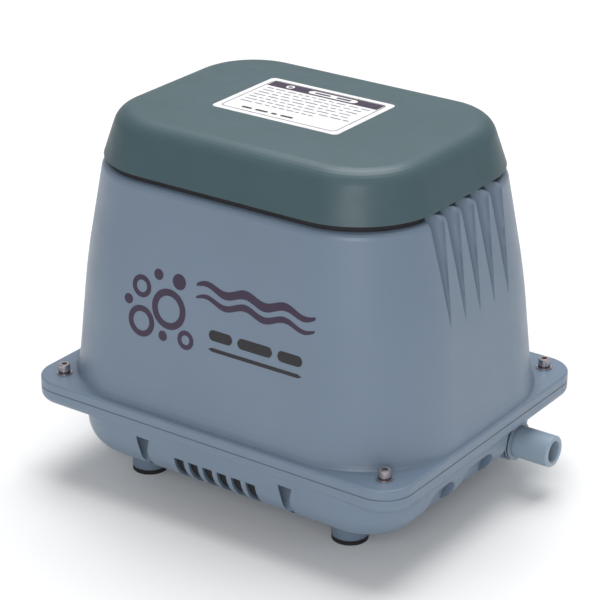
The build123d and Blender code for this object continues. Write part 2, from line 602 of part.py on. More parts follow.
lid_z = TANK_TOP + TANK_GASKET
with BuildPart() as tank_lid:
    with BuildSketch(Plane(origin=(*tank_mid, lid_z))):
        RectangleRounded(tank_l, tank_w, TANK_R)
        with GridLocations((tank_l - 60) / 2, tank_w - 30, 3, 2):
            Circle(2.2, mode=Mode.SUBTRACT)
    extrude(amount=LID_T)
    for side in (-1, 1):
        foot = (BODY_X + side * STUB_X, STUB_Y, lid_z)
        rod(foot, (0, 0, 1), STUB_R, LID_T + 17)
        rod(foot, (0, 0, 1), STUB_BORE, 40, Mode.SUBTRACT)
save(tank_lid, "tank_lid")

lid_top = lid_z + LID_T
with BuildPart() as tank_screws:
    with Locations((*tank_mid, lid_top)):
        with GridLocations((tank_l - 60) / 2, tank_w - 30, 3, 2):
            Cylinder(3.6, 2.6, align=(Align.CENTER, Align.CENTER, Align.MIN))
            Cylinder(1.95, 16, align=(Align.CENTER, Align.CENTER, Align.MAX))
            with Locations((0, 0, 2.6)):
                Box(4.5, 1, 2.4, mode=Mode.SUBTRACT)
                Box(1, 4.5, 2.4, mode=Mode.SUBTRACT)
save(tank_screws, "tank_screws")

# ---------------------------------------------------------------- drive frame and mounts
PLATE_X = (46.0, 50.0)     # end plates, as distances from the body's centre
RING_X = (50.0, 56.0)
DIAPHRAGM_X = (56.0, 58.0)
CHAMBER_X = (58.0, 76.0)
VALVE_X = (76.0, 79.0)
END_X = (79.0, 97.0)
SIDE_Y = (44.0, 47.0)
HALF = CHAMBER / 2
MOUNT_X = 43.0
MOUNT_Y = 36.0
BOLT = 37.0                # chamber screws, from the rod's centre line
drive_low = DRIVE_Z - HALF


def both_ways(side, span):
    """A (low, high) span along X, mirrored to one side of the body's centre."""
    return tuple(sorted(BODY_X + side * distance for distance in span))


with BuildPart() as drive_frame:
    for side in (-1, 1):
        block(both_ways(side, PLATE_X), (-HALF, HALF), (drive_low, DRIVE_Z + HALF))
        block(both_ways(side, (36, PLATE_X[0])), (-HALF, HALF), (drive_low, drive_low + 4))
        block((BODY_X - PLATE_X[0], BODY_X + PLATE_X[0]), sorted((side * SIDE_Y[0], side * SIDE_Y[1])),
              (DRIVE_Z - 24, DRIVE_Z + 24))
        block(both_ways(side, PLATE_X), (-SIDE_Y[1], SIDE_Y[1]), (DRIVE_Z - 24, DRIVE_Z + 24))
    rod((BODY_X - 60, 0, DRIVE_Z), (1, 0, 0), 24, 120, Mode.SUBTRACT)
    for y in (-BOLT, BOLT):
        for z in (DRIVE_Z - BOLT, DRIVE_Z + BOLT):
            rod((BODY_X - 60, y, z), (1, 0, 0), 2, 120, Mode.SUBTRACT)
    for x in (-24, 24):
        rod((BODY_X + x, -60, DRIVE_Z), (0, 1, 0), 2.2, 120, Mode.SUBTRACT)
save(drive_frame, "drive_frame")

with BuildPart() as vibration_mounts:
    with BuildSketch(Plane(origin=(BODY_X, 0, lid_top))):
        with GridLocations(2 * MOUNT_X, 2 * MOUNT_Y, 2, 2):
            Circle(8)
    extrude(amount=drive_low - lid_top)
    with BuildSketch(Plane(origin=(BODY_X, 0, (lid_top + drive_low) / 2 - 3))):
        with GridLocations(2 * MOUNT_X, 2 * MOUNT_Y, 2, 2):
            Circle(9)
            Circle(6, mode=Mode.SUBTRACT)
    extrude(amount=6, mode=Mode.SUBTRACT)
save(vibration_mounts, "vibration_mounts")

# ---------------------------------------------------------------- electromagnets
CORE_HALF_L = 30.0
CORE_STACK = 40.0
POLE_Y = 6.5
BACK_Y = (34.0, 44.0)
LEG_HALF = 7.0
OUTER_LEG = (22.0, 30.0)
BOBBIN_Y = (10.0, 33.6)


def laminated_core(side):
    """E-shaped stack with its three poles towards the rod."""
    with BuildPart() as core:
        with BuildSketch(Plane(origin=(BODY_X, 0, DRIVE_Z - CORE_STACK / 2))):
            with Locations((0, side * (POLE_Y + BACK_Y[1]) / 2)):
                Rectangle(2 * CORE_HALF_L, BACK_Y[1] - POLE_Y)
            for x in (-1, 1):
                with Locations((x * (LEG_HALF + OUTER_LEG[0]) / 2, side * (POLE_Y + BACK_Y[0]) / 2)):
                    Rectangle(OUTER_LEG[0] - LEG_HALF, BACK_Y[0] - POLE_Y, mode=Mode.SUBTRACT)
        extrude(amount=CORE_STACK)
        for x in (-24, 24):
            rod((BODY_X + x, side * BACK_Y[1], DRIVE_Z), (0, -side, 0), 2, 12, Mode.SUBTRACT)
    return core


def bobbin(side):
    """Coil former round the core's middle leg, with two flanges."""
    with BuildPart() as former:
        middle = side * (BOBBIN_Y[0] + BOBBIN_Y[1]) / 2
        depth = BOBBIN_Y[1] - BOBBIN_Y[0]
        with Locations((BODY_X, middle, DRIVE_Z)):
            Box(2 * OUTER_LEG[0] - 1, depth, 66)
            Box(2 * OUTER_LEG[0], depth - 3, 80, mode=Mode.SUBTRACT)
            Box(2 * LEG_HALF + 3, depth, CORE_STACK + 3)
            Box(2 * LEG_HALF, depth + 2, CORE_STACK, mode=Mode.SUBTRACT)
    return former


def winding(side):
    """Copper winding between the bobbin's flanges."""
    with BuildPart() as coil:
        middle = side * (BOBBIN_Y[0] + BOBBIN_Y[1]) / 2
        start = (BODY_X, middle - 10, DRIVE_Z)
        with BuildSketch(Plane(origin=start, x_dir=(1, 0, 0), z_dir=(0, 1, 0))):
            RectangleRounded(2 * OUTER_LEG[0] - 3, 64, 4)
            Rectangle(2 * LEG_HALF + 3, CORE_STACK + 3, mode=Mode.SUBTRACT)
        extrude(amount=20)
    return coil


for side, place in ((-1, "front"), (1, "rear")):
    save(laminated_core(side), f"core_{place}")
    save(bobbin(side), f"bobbin_{place}")
    save(winding(side), f"winding_{place}")

with BuildPart() as core_screws:
    for side in (-1, 1):
        for x in (-24, 24):
            rod((BODY_X + x, side * SIDE_Y[1], DRIVE_Z), (0, side, 0), 3.6, 2.6)
            rod((BODY_X + x, side * SIDE_Y[1], DRIVE_Z), (0, -side, 0), 1.95, 14)
save(core_screws, "core_screws")

# ---------------------------------------------------------------- armature
ROD_HALF = 66.0
CARRIER_HALF_L = 30.0
TRIP_X = (31.5, 45.8)      # the two trip collars either side of the stop lever
TRIP_R = 6.0
HUB_R = 16.0

with BuildPart() as armature_rod:
    rod((BODY_X - ROD_HALF, 0, DRIVE_Z), (1, 0, 0), ROD_R, 2 * ROD_HALF)
    for x in TRIP_X:
        rod((BODY_X + x, 0, DRIVE_Z), (1, 0, 0), TRIP_R, 1.5)
    chamfer(armature_rod.faces().sort_by(Axis.X)[-1].edges(), length=0.5)
    chamfer(armature_rod.faces().sort_by(Axis.X)[0].edges(), length=0.5)
save(armature_rod, "armature_rod")

MAGNET_X = (3.0, 26.0)
MAGNET_Z = (5.5, 20.0)
with BuildPart() as magnet_carrier:
    block((BODY_X - CARRIER_HALF_L, BODY_X + CARRIER_HALF_L), (-4, 4), (DRIVE_Z - 23, DRIVE_Z + 23))
    rod((BODY_X - 40, 0, DRIVE_Z), (1, 0, 0), ROD_R, 80, Mode.SUBTRACT)
    for side in (-1, 1):
        for level in (-1, 1):
            heights = sorted((DRIVE_Z + level * MAGNET_Z[0], DRIVE_Z + level * MAGNET_Z[1]))
            block(both_ways(side, MAGNET_X), (-6, 6), heights, Mode.SUBTRACT)
save(magnet_carrier, "magnet_carrier")

with BuildPart() as magnets:
    for side in (-1, 1):
        for level in (-1, 1):
            heights = sorted((DRIVE_Z + level * MAGNET_Z[0], DRIVE_Z + level * MAGNET_Z[1]))
            block(both_ways(side, MAGNET_X), (-4.8, 4.8), heights)
save(magnets, "magnets")

with BuildPart() as centre_plates:
    for side in (-1, 1):
        for start in (DIAPHRAGM_X[0] - 2.5, DIAPHRAGM_X[1]):
            rod((BODY_X + side * start, 0, DRIVE_Z), (side, 0, 0), HUB_R, 2.5)
    rod((BODY_X - 80, 0, DRIVE_Z), (1, 0, 0), ROD_R, 160, Mode.SUBTRACT)
save(centre_plates, "centre_plates")

with BuildPart() as rod_nuts:
    for side in (-1, 1):
        start = (BODY_X + side * (DIAPHRAGM_X[1] + 2.5), 0, DRIVE_Z)
        with BuildSketch(Plane(origin=start, x_dir=(0, 1, 0), z_dir=(side, 0, 0))):
            RegularPolygon(5.5, 6)
            Circle(ROD_R, mode=Mode.SUBTRACT)
        extrude(amount=4)
save(rod_nuts, "rod_nuts")

# ---------------------------------------------------------------- pump heads, left and right
RIM_R = 40.0
RECESS_R = (34.0, 24.0)
RECESS_DEPTH = 13.0
PORT_Z = 12.5
PORT_R = 9.0
CAP_T = 1.2                # thickness of a valve umbrella
DISCHARGE_Z = DRIVE_Z - 20


def head_square(side, span, radius=10):
    """Rounded square plate of the pump head, as a new builder."""
    with BuildPart() as plate:
        start = (BODY_X + side * span[0], 0, DRIVE_Z)
        with BuildSketch(Plane(origin=start, x_dir=(0, 1, 0), z_dir=(side, 0, 0))):
            RectangleRounded(CHAMBER, CHAMBER, radius)
            with GridLocations(2 * BOLT, 2 * BOLT, 2, 2):
                Circle(2.2, mode=Mode.SUBTRACT)
        extrude(amount=span[1] - span[0])
    return plate


def clamp_ring(side):
    """Ring that the diaphragm's rim is clamped against."""
    plate = head_square(side, RING_X)
    with BuildPart() as ring:
        add(plate.part)
        rod((BODY_X, 0, DRIVE_Z), (side, 0, 0), 30, 80, Mode.SUBTRACT)
    return ring


def diaphragm(side):
    """Rubber disc with one rolled convolution."""
    with BuildPart() as disc:
        centre = (BODY_X, 0, DRIVE_Z)
        with BuildSketch(Plane(origin=centre, x_dir=(side, 0, 0), z_dir=(0, -side, 0))):
            with BuildLine():
                low, high = DIAPHRAGM_X
                Polyline((low, ROD_R), (high, ROD_R), (high, 19))
                ThreePointArc((high, 19), (high + 3, 24.5), (high, 30))
                Polyline((high, 30), (high, RIM_R), (low, RIM_R), (low, 29))
                ThreePointArc((low, 29), (low + 3, 24.5), (low, 20))
                Line((low, 20), (low, ROD_R))
            make_face()
        revolve(axis=Axis(centre, (1, 0, 0)))
    return disc


def chamber(side):
    """Working chamber: conical recess and two valve ports."""
    plate = head_square(side, CHAMBER_X)
    with BuildPart() as body:
        add(plate.part)
        with Locations(Plane(origin=(BODY_X + side * CHAMBER_X[0], 0, DRIVE_Z), z_dir=(side, 0, 0))):
            Cone(RECESS_R[0], RECESS_R[1], RECESS_DEPTH,
                 align=(Align.CENTER, Align.CENTER, Align.MIN), mode=Mode.SUBTRACT)
        for z in (DRIVE_Z - PORT_Z, DRIVE_Z + PORT_Z):
            rod((BODY_X, 0, z), (side, 0, 0), PORT_R, 90, Mode.SUBTRACT)
        rod((BODY_X + side * (CHAMBER_X[0] - 1), 0, DRIVE_Z), (side, 0, 0), 41, 1, Mode.SUBTRACT)
    return body


def valve_plate(side):
    """Plate with two rings of air holes round the valve stems."""
    plate = head_square(side, VALVE_X)
    with BuildPart() as seat:
        add(plate.part)
        for z in (DRIVE_Z - PORT_Z, DRIVE_Z + PORT_Z):
            rod((BODY_X, 0, z), (side, 0, 0), 1.5, 90, Mode.SUBTRACT)
            for step in range(6):
                angle = pi / 3 * step
                start = (BODY_X, 5 * cos(angle), z + 5 * sin(angle))
                rod(start, (side, 0, 0), 1.5, 90, Mode.SUBTRACT)
    return seat


def umbrella_valves(side):
    """Suction umbrella inside the chamber (upper), discharge umbrella outside it (lower)."""
    with BuildPart() as valves:
        inner, outer = VALVE_X
        suction = (DRIVE_Z + PORT_Z, inner - CAP_T, outer + 3)
        discharge = (DRIVE_Z - PORT_Z, outer, inner - 3)
        for z, cap, stem_end in (suction, discharge):
            rod((BODY_X + side * cap, 0, z), (side, 0, 0), PORT_R - 1, CAP_T)
            low, high = sorted((cap, stem_end))
            rod((BODY_X + side * low, 0, z), (side, 0, 0), 1.45, high - low)
    return valves


def end_cover(side):
    """Manifold: suction room above, open to the housing; discharge room below, with a stub."""
    plate = head_square(side, END_X)
    with BuildPart() as cover:
        add(plate.part)
        inner = (END_X[0] - 1, END_X[1] - 4)
        block(both_ways(side, inner), (-32, 32), (DRIVE_Z - 32, DRIVE_Z - 2), Mode.SUBTRACT)
        block(both_ways(side, inner), (-32, 32), (DRIVE_Z + 2, DRIVE_Z + 32), Mode.SUBTRACT)
        for y in (-20, -10, 0, 10, 20):
            slot = both_ways(side, (END_X[0] + 3, END_X[1] - 6))
            block(slot, (y - 3, y + 3), (DRIVE_Z + 30, DRIVE_Z + 60), Mode.SUBTRACT)
        rod((BODY_X + side * STUB_X, HALF, DISCHARGE_Z), (0, 1, 0), STUB_R, 11.5)
        rod((BODY_X + side * STUB_X, 30, DISCHARGE_Z), (0, 1, 0), STUB_BORE, 40, Mode.SUBTRACT)
    return cover


def head_screws(side):
    """Four long screws through the whole pump head."""
    with BuildPart() as screws:
        for y in (-BOLT, BOLT):
            for z in (DRIVE_Z - BOLT, DRIVE_Z + BOLT):
                rod((BODY_X + side * END_X[1], y, z), (side, 0, 0), 3.6, 2.6)
                rod((BODY_X + side * END_X[1], y, z), (-side, 0, 0), 1.95, END_X[1] - PLATE_X[0])
    return screws


def elbow(side):
    """Rubber elbow from the end cover's stub down to the tank lid's stub."""
    x = BODY_X + side * STUB_X
    start = (x, HALF + 1.5, DISCHARGE_Z)
    with BuildPart() as tube:
        with BuildLine():
            FilletPolyline(start, (x, STUB_Y, DISCHARGE_Z), (x, STUB_Y, lid_top + 3), radius=12)
        with BuildSketch(Plane(origin=start, x_dir=(1, 0, 0), z_dir=(0, 1, 0))):
            Circle(STUB_R + 3)
            Circle(STUB_R, mode=Mode.SUBTRACT)
        sweep()
    return tube


for side, place in ((-1, "left"), (1, "right")):
    save(clamp_ring(side), f"clamp_ring_{place}")
    save(diaphragm(side), f"diaphragm_{place}")
    save(chamber(side), f"chamber_{place}")
    save(valve_plate(side), f"valve_plate_{place}")
    save(umbrella_valves(side), f"umbrella_valves_{place}")
    save(end_cover(side), f"end_cover_{place}")
    save(head_screws(side), f"head_screws_{place}")
    save(elbow(side), f"elbow_{place}")

CLAMP_W = 6.0
with BuildPart() as hose_clamps:
    for side in (-1, 1):
        x = BODY_X + side * STUB_X
        on_cover = ((x, HALF + 3.5, DISCHARGE_Z), (0, 1, 0))
        on_lid = ((x, STUB_Y, lid_top + 5), (0, 0, 1))
        for start, axis in (on_cover, on_lid):
            rod(start, axis, STUB_R + 4.2, CLAMP_W)
            rod(start, axis, STUB_R + 3, CLAMP_W, Mode.SUBTRACT)
save(hose_clamps, "hose_clamps")

# ---------------------------------------------------------------- safety stop and terminals
LEVER_X = 39.4
LEVER_Y = 34.0
with BuildPart() as stop_switch:
    switch_x = (BODY_X + LEVER_X - 5.5, BODY_X + LEVER_X + 5.5)
    block(switch_x, (LEVER_Y - 2, SIDE_Y[0]), (DRIVE_Z + 4, DRIVE_Z + 20))
    block(switch_x, (LEVER_Y - 2, SIDE_Y[0]), (DRIVE_Z - 12, DRIVE_Z - 5))
    block(switch_x, (LEVER_Y + 6, SIDE_Y[0]), (DRIVE_Z - 12, DRIVE_Z + 20))
    rod((BODY_X + LEVER_X, LEVER_Y, DRIVE_Z - 12), (0, 0, 1), 1, 24)
save(stop_switch, "stop_switch")

with BuildPart() as stop_lever:
    with BuildSketch(Plane(origin=(BODY_X + LEVER_X, 0, DRIVE_Z - 3))):
        with Locations((0, (LEVER_Y + 4.5) / 2)):
            Rectangle(2, LEVER_Y - 4.5)
        with Locations((0, LEVER_Y)):
            Circle(2.6)
            Circle(1.06, mode=Mode.SUBTRACT)
    extrude(amount=5)
save(stop_lever, "stop_lever")

with BuildPart() as terminal_block:
    block((-52, -12), (-59, -46), (lid_top, lid_top + 12))
    for index in range(3):
        x = -42 + 10 * index
        rod((x, -52.5, lid_top + 12), (0, 0, -1), 2.6, 6, Mode.SUBTRACT)
        rod((x, -60, lid_top + 4), (0, 1, 0), 1.6, 20, Mode.SUBTRACT)
save(terminal_block, "terminal_block")

with BuildPart() as terminal_screws:
    for index in range(3):
        x = -42 + 10 * index
        rod((x, -52.5, lid_top + 6), (0, 0, 1), 2.5, 3)
        block((x - 2.2, x + 2.2), (-52.8, -52.2), (lid_top + 8, lid_top + 10), Mode.SUBTRACT)
save(terminal_screws, "terminal_screws")
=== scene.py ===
"""Looks of the air pump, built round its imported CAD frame. Lengths are in metres."""

import math
import random

import bmesh
import bpy
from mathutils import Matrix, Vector
from mathutils.bvhtree import BVHTree


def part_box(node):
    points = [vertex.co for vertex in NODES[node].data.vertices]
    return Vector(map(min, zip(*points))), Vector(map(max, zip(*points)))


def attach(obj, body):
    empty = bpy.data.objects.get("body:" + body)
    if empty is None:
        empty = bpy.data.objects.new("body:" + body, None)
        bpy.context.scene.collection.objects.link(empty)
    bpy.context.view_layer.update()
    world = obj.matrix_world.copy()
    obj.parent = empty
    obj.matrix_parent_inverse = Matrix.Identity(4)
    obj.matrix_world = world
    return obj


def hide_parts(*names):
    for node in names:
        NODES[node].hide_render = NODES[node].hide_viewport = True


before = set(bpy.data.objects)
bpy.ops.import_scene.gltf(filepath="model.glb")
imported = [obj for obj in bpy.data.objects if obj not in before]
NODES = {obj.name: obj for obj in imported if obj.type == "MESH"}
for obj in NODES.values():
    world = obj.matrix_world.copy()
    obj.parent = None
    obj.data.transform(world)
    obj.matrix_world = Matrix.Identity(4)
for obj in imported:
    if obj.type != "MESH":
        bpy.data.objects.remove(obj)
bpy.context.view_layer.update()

MM = 0.001


# ---------------------------------------------------------------- material helpers
def linear(colour):
    """An sRGB colour from 0 to 255, as the linear colour that a shader takes."""
    out = []
    for value in colour:
        value /= 255
        out.append(value / 12.92 if value <= 0.04045 else ((value + 0.055) / 1.055) ** 2.4)
    return (*out, 1.0)


def scaled(colour, factor):
    """A linear colour, lighter or darker."""
    return (*(min(1.0, value * factor) for value in colour[:3]), 1.0)


NOISE_ROUGHNESS = 0.55
HOLLOW_REACH = 9 * MM      # how far apart faces may be and still paint shade on each other


class Surface:
    """A procedural material on one Principled shader, built up step by step."""

    def __init__(self, name, colour, roughness, metallic=0.0, coat=0.0, coat_roughness=0.2,
                 sheen=0.0, specular=0.5):
        self.material = bpy.data.materials.new(name)
        self.material.use_nodes = True
        self.tree = self.material.node_tree
        self.shader = self.tree.nodes["Principled BSDF"]
        self.colour = linear(colour)
        self.shader.inputs["Base Color"].default_value = self.colour
        self.shader.inputs["Roughness"].default_value = roughness
        self.shader.inputs["Metallic"].default_value = metallic
        self.shader.inputs["Coat Weight"].default_value = coat
        self.shader.inputs["Coat Roughness"].default_value = coat_roughness
        self.shader.inputs["Sheen Weight"].default_value = sheen
        self.shader.inputs["Specular IOR Level"].default_value = specular
        self.roughness = roughness
        self.place = self.node("ShaderNodeTexCoord").outputs["Object"]
        self.height = None

    def node(self, kind, **settings):
        made = self.tree.nodes.new(kind)
        for key, value in settings.items():
            setattr(made, key, value)
        return made

    def join(self, source, target):
        self.tree.links.new(source, target)

    def noise(self, scale, detail=3.0, stretch=None):
        """A noise value over the surface; scale is in cells a metre."""
        texture = self.node("ShaderNodeTexNoise")
        texture.inputs["Scale"].default_value = scale
        texture.inputs["Detail"].default_value = detail
        texture.inputs["Roughness"].default_value = NOISE_ROUGHNESS
        source = self.place
        if stretch:
            mapping = self.node("ShaderNodeMapping")
            mapping.inputs["Scale"].default_value = stretch
            self.join(self.place, mapping.inputs["Vector"])
            source = mapping.outputs["Vector"]
        self.join(source, texture.inputs["Vector"])
        return texture.outputs["Fac"]

    def spread(self, value, low, high, at=(0.3, 0.7)):
        """Map a value onto a range."""
        made = self.node("ShaderNodeMapRange")
        made.inputs["From Min"].default_value = at[0]
        made.inputs["From Max"].default_value = at[1]
        made.inputs["To Min"].default_value = low
        made.inputs["To Max"].default_value = high
        self.join(value, made.inputs["Value"])
        return made.outputs["Result"]

    def mottle(self, scale, amount, stretch=None):
        """Vary the base colour a little, darker to lighter."""
        ramp = self.node("ShaderNodeValToRGB")
        ramp.color_ramp.elements[0].position = 0.3
        ramp.color_ramp.elements[0].color = scaled(self.colour, 1 - amount)
        ramp.color_ramp.elements[1].position = 0.7
        ramp.color_ramp.elements[1].color = scaled(self.colour, 1 + amount)
        self.join(self.noise(scale, stretch=stretch), ramp.inputs["Fac"])
        self.join(ramp.outputs["Color"], self.shader.inputs["Base Color"])
        return self

    def vary_gloss(self, scale, amount):
        """Vary the roughness a little."""
        made = self.spread(self.noise(scale), self.roughness - amount, self.roughness + amount)
        self.join(made, self.shader.inputs["Roughness"])
        return self

    def bump(self, value, depth, strength=1.0):
        """Add relief of a depth in metres, on top of any relief before it."""
        made = self.node("ShaderNodeBump")
        made.inputs["Distance"].default_value = depth
        made.inputs["Strength"].default_value = strength
        self.join(value, made.inputs["Height"])
        if self.height:
            self.join(self.height, made.inputs["Normal"])
        self.height = made.outputs["Normal"]
        self.join(self.height, self.shader.inputs["Normal"])
        return self

    def paint_hollow_shade(self, darkest):
        """Paint shade into the base colour in narrow hollows, darker where faces close in."""
        hollow = self.node("ShaderNodeAmbientOcclusion", samples=8)
        hollow.inputs["Distance"].default_value = HOLLOW_REACH
        amount = self.spread(hollow.outputs["AO"], darkest, 1.0, at=(0.15, 0.85))
        mix = self.node("ShaderNodeMix", data_type="RGBA", blend_type="MULTIPLY")
        mix.inputs["Factor"].default_value = 1.0
        source = self.shader.inputs["Base Color"].links[0].from_socket
        self.join(source, mix.inputs["A"])
        self.join(amount, mix.inputs["B"])
        self.join(mix.outputs["Result"], self.shader.inputs["Base Color"])
        return self

    def soft_edges(self, radius):
        """Round hard edges over a radius, as a casting or moulding has them."""
        made = self.node("ShaderNodeBevel", samples=6)
        made.inputs["Radius"].default_value = radius
        self.height = made.outputs["Normal"]
        self.join(self.height, self.shader.inputs["Normal"])
        return self


# ---------------------------------------------------------------- materials
def cast_paint():
    """Satin blue-grey paint over a fine cast skin."""
    made = Surface("housing_paint", (110, 127, 146), 0.42, coat=0.12, coat_roughness=0.35)
    # painted shade darkens the paint in narrow hollows, down to 0.45 of its colour
    made.soft_edges(0.7 * MM).mottle(14, 0.03).vary_gloss(60, 0.05).paint_hollow_shade(0.45)
    made.bump(made.noise(900, detail=4), 0.05 * MM, 0.35)
    made.bump(made.noise(120, detail=2), 0.10 * MM, 0.15)
    return made.material


def moulded(name, colour, roughness, coat=0.0, edge=0.6 * MM, hollow_shade=None):
    """Moulded plastic with a fine spark-eroded texture."""
    made = Surface(name, colour, roughness, coat=coat, coat_roughness=0.3)
    made.soft_edges(edge).mottle(30, 0.04).vary_gloss(80, 0.04)
    made.bump(made.noise(1400, detail=5), 0.04 * MM, 0.4)
    # painted shade in narrow hollows, when a darkest share is given
    if hollow_shade:
        made.paint_hollow_shade(hollow_shade)
    return made.material


def rubber(name, colour, roughness=0.75):
    """Matt rubber with a dusty bloom."""
    made = Surface(name, colour, roughness, specular=0.35)
    made.mottle(90, 0.18).vary_gloss(140, 0.08)
    made.bump(made.noise(1600, detail=4), 0.03 * MM, 0.5)
    return made.material


def metal(name, colour, roughness, brushed=(1, 1, 1), scale=500):
    """Bare metal, brushed along one axis where the stretch says so."""
    made = Surface(name, colour, roughness, metallic=1.0)
    made.soft_edges(0.08 * MM).mottle(60, 0.08, stretch=brushed).vary_gloss(200, 0.08)
    made.bump(made.noise(scale, detail=4, stretch=brushed), 0.02 * MM, 0.5)
    return made.material


def laminations():
    """Varnished steel sheets stacked along Z."""
    made = Surface("core_steel", (84, 84, 90), 0.5, metallic=0.6)
    made.mottle(40, 0.12)
    waves = made.node("ShaderNodeTexWave", bands_direction="Z", wave_profile="SAW")
    waves.inputs["Scale"].default_value = 320
    waves.inputs["Distortion"].default_value = 0.0
    made.join(made.place, waves.inputs["Vector"])
    made.bump(waves.outputs["Fac"], 0.08 * MM, 0.7)
    return made.material


def copper():
    """Enamelled wire, wound round the middle leg."""
    made = Surface("copper_wire", (176, 92, 48), 0.32, metallic=0.9, coat=0.4)
    made.mottle(70, 0.1)
    waves = made.node("ShaderNodeTexWave", bands_direction="Y", wave_profile="SIN")
    waves.inputs["Scale"].default_value = 500
    waves.inputs["Distortion"].default_value = 0.3
    made.join(made.place, waves.inputs["Vector"])
    made.bump(waves.outputs["Fac"], 0.2 * MM, 0.8)
    return made.material


def printed(name, colour, roughness=0.45):
    """Screen-printed ink, a touch uneven."""
    made = Surface(name, colour, roughness)
    made.mottle(180, 0.07).vary_gloss(220, 0.05)
    made.bump(made.noise(2200, detail=2), 0.01 * MM, 0.3)
    return made.material


def foam():
    """Open-cell filter foam: lighter struts, with painted shade darkening the pores between them.
    """
    made = Surface("filter_foam", (58, 60, 66), 0.95, sheen=0.15, specular=0.2)
    cells = made.node("ShaderNodeTexVoronoi", feature="DISTANCE_TO_EDGE")
    cells.inputs["Scale"].default_value = 620
    made.join(made.place, cells.inputs["Vector"])
    # painted shade: colour falls from the struts into the pores, following their depth
    ramp = made.node("ShaderNodeValToRGB")
    ramp.color_ramp.elements[0].position = 0.02
    ramp.color_ramp.elements[0].color = scaled(made.colour, 1.5)
    ramp.color_ramp.elements[1].position = 0.28
    ramp.color_ramp.elements[1].color = scaled(made.colour, 0.25)
    made.join(cells.outputs["Distance"], ramp.inputs["Fac"])
    made.join(ramp.outputs["Color"], made.shader.inputs["Base Color"])
    depth = made.spread(cells.outputs["Distance"], 1.0, 0.0, at=(0.0, 0.3))
    made.bump(depth, 0.7 * MM, 0.9)
    return made.material


HOUSING = cast_paint()
COVER = moulded("cover_plastic", (62, 86, 92), 0.46, coat=0.06, edge=0.5 * MM)
# the nozzle's narrow hollows get painted shade, down to 0.12 of its colour
NOZZLE = moulded("nozzle_plastic", (144, 161, 177), 0.42, hollow_shade=0.12)
LABEL_FILM = printed("label_film", (232, 232, 234), 0.35)
INK_PLUM = printed("ink_plum", (50, 34, 62))
INK_BLACK = printed("ink_black", (26, 24, 30))
INK_GREY = printed("ink_grey", (120, 122, 130))
BLACK_RUBBER = rubber("black_rubber", (34, 32, 36))
GREY_RUBBER = rubber("grey_rubber", (100, 114, 130), 0.7)
STAINLESS = metal("stainless", (196, 188, 190), 0.34, brushed=(1, 1, 8))
ZINC = metal("zinc_steel", (178, 178, 182), 0.4)
BLACK_PLASTIC = moulded("black_plastic", (30, 30, 33), 0.5)
FOAM = foam()

NODE_MATERIALS = {
    "upper_housing": HOUSING, "lower_tub": HOUSING, "filter_cover": COVER, "outlet_nozzle": NOZZLE,
    "top_label": LABEL_FILM, "air_filter": FOAM, "flange_gasket": GREY_RUBBER,
}
SHARED = {
    BLACK_PLASTIC: ("intake_grille", "cord_gland", "gland_cap", "gland_nut"),
    # near-black screen behind the front slots, standing in for the shade inside the tub
    moulded("vent_shade_screen", (22, 20, 28), 0.8): ("vent_screen",),
    BLACK_RUBBER: ("cover_seal", "rubber_feet", "outlet_seal", "vibration_mounts", "tank_gasket",
                   "elbow_left", "elbow_right"),
    rubber("diaphragm_rubber", (40, 38, 38)): ("diaphragm_left", "diaphragm_right"),
    rubber("valve_rubber", (150, 62, 48), 0.6): ("umbrella_valves_left", "umbrella_valves_right"),
    STAINLESS: ("housing_screws", "flat_washers", "hose_clamps", "armature_rod"),
    metal("dark_steel", (104, 92, 96), 0.45): ("spring_washers",),
    ZINC: ("foot_screws", "tank_screws", "core_screws", "head_screws_left", "head_screws_right",
           "rod_nuts"),
    metal("terminal_brass", (196, 164, 92), 0.35): ("terminal_screws",),
    moulded("tank_plastic", (58, 60, 63), 0.5): ("air_tank", "tank_lid"),
    metal("cast_aluminium", (184, 184, 186), 0.5, scale=260): (
        "drive_frame", "clamp_ring_left", "clamp_ring_right", "magnet_carrier", "centre_plates"),
    moulded("head_plastic", (46, 48, 52), 0.48): (
        "chamber_left", "chamber_right", "valve_plate_left", "valve_plate_right", "end_cover_left",
        "end_cover_right"),
    laminations(): ("core_front", "core_rear"),
    moulded("bobbin_plastic", (36, 36, 40), 0.45): ("bobbin_front", "bobbin_rear", "stop_switch"),
    copper(): ("winding_front", "winding_rear"),
    metal("magnet_ferrite", (60, 60, 64), 0.6, scale=900): ("magnets",),
    moulded("white_plastic", (222, 222, 214), 0.35): ("stop_lever", "terminal_block"),
}
for material, names in SHARED.items():
    for name in names:
        NODE_MATERIALS[name] = material
for name, material in NODE_MATERIALS.items():
    NODES[name].data.materials.clear()
    NODES[name].data.materials.append(material)


# ---------------------------------------------------------------- mesh helpers
def add_mesh(name, build, material, body):
    """Make an object from a bmesh builder, riding on a body and finished with a material."""
    mesh = bpy.data.meshes.new(name)
    shape = bmesh.new()
    build(shape)
    bmesh.ops.recalc_face_normals(shape, faces=shape.faces)
    shape.to_mesh(mesh)
    shape.free()
    made = bpy.data.objects.new(name, mesh)
    bpy.context.scene.collection.objects.link(made)
    mesh.materials.append(material)
    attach(made, body)
    return made


def rounded_outline(centre, size, radius, steps=6):
    """Points round a rounded rectangle, anticlockwise."""
    points = []
    half_u, half_v = size[0] / 2 - radius, size[1] / 2 - radius
    for corner, (u, v) in enumerate(((1, 1), (-1, 1), (-1, -1), (1, -1))):
        for step in range(steps + 1):
            angle = math.pi / 2 * (corner + step / steps)
            points.append((centre[0] + u * half_u + radius * math.cos(angle),
                           centre[1] + v * half_v + radius * math.sin(angle)))
    return points


# ---------------------------------------------------------------- camera, floor and light
CAMERA_AT = Vector((0.7012, -0.9974, 0.6495))
LOOK_AT = Vector((0.00688, -0.02372, 0.11837))
FOCAL_PX = 2308.8
FRAME_PX = 600
SENSOR = 36.0

